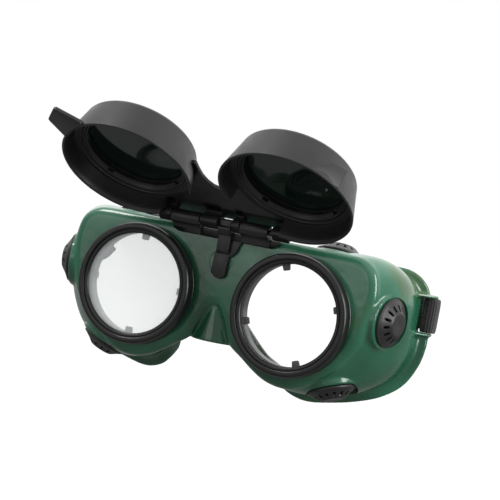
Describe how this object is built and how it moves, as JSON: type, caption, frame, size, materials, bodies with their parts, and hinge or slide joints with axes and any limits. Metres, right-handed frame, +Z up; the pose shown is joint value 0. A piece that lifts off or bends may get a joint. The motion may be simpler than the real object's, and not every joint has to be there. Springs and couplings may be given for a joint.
{
  "type": "welding goggles",
  "caption": "Soft moulded goggle mask with round screw-in lenses, a flip-up front that carries dark shade lenses in cups, capped side vents and an elastic headband.",
  "frame": {"origin": "middle of the face seal's rear plane, level with the lens centres", "axes": "+X wearer's left, +Y back towards the wearer's head, +Z up; the wearer looks along -Y"},
  "size_m": [0.1876, 0.125, 0.122],
  "materials": {
    "pvc": "soft translucent green PVC, glossy",
    "black": "satin moulded black plastic",
    "vent": "satin moulded black plastic",
    "clear": "clear, polished",
    "shade": "dark green welding shade, polished",
    "rubber": "soft, matt",
    "webbing": "ribbed elastic webbing",
    "steel": "plain"
  },
  "bodies": {
    "mask": {"frame_body": "pvc", "hinge_bracket": "black", "bracket_rivets": "steel", "eye_barrel_left": "black", "eye_barrel_right": "black", "clear_lens_left": "clear", "clear_lens_right": "clear", "eye_gasket_left": "rubber", "eye_gasket_right": "rubber", "vent_cap_top_left": "vent", "vent_cap_top_right": "vent", "vent_cap_side_left": "vent", "vent_cap_side_right": "vent", "vent_cap_bottom_left": "vent", "vent_cap_bottom_right": "vent", "vent_valve_top_left": "rubber", "vent_valve_top_right": "rubber", "vent_valve_side_left": "rubber", "vent_valve_side_right": "rubber", "vent_valve_bottom_left": "rubber", "vent_valve_bottom_right": "rubber", "headband": "webbing"},
    "front": {"flip_front": "black", "hinge_pin_left": "steel", "hinge_pin_right": "steel", "shade_lens_left": "shade", "shade_lens_right": "shade", "cover_lens_left": "clear", "cover_lens_right": "clear", "shade_gasket_left": "rubber", "shade_gasket_right": "rubber"},
    "eye_ring_left": {"eye_ring_left": "black"},
    "eye_ring_right": {"eye_ring_right": "black"},
    "shade_ring_left": {"shade_ring_left": "black"},
    "shade_ring_right": {"shade_ring_right": "black"},
    "slider": {"headband_slider": "black"}
  },
  "joints": [
    {"name": "flip_hinge", "type": "hinge", "parent": "mask", "child": "front", "pos_m": [0, -0.0498, 0.035], "axis": [1, 0, 0], "range_deg": [0, 124.7]},
    {"name": "eye_ring_left_twist", "type": "hinge", "parent": "mask", "child": "eye_ring_left", "pos_m": [0.0393, -0.05, 0], "axis": [0, -1, 0], "range_deg": [0, 180]},
    {"name": "eye_ring_right_twist", "type": "hinge", "parent": "mask", "child": "eye_ring_right", "pos_m": [-0.0393, -0.05, 0], "axis": [0, -1, 0], "range_deg": [0, 180]},
    {"name": "shade_ring_left_twist", "type": "hinge", "parent": "front", "child": "shade_ring_left", "pos_m": [0.0393, -0.07505, 0.06002], "axis": [0, -0.5693, -0.8221], "range_deg": [0, 180]},
    {"name": "shade_ring_right_twist", "type": "hinge", "parent": "front", "child": "shade_ring_right", "pos_m": [-0.0393, -0.07505, 0.06002], "axis": [0, -0.5693, -0.8221], "range_deg": [0, 180]},
    {"name": "band_slider", "type": "slide", "parent": "mask", "child": "slider", "axis": [1, 0, 0], "range_m": [-0.012, 0.012]}
  ]
}
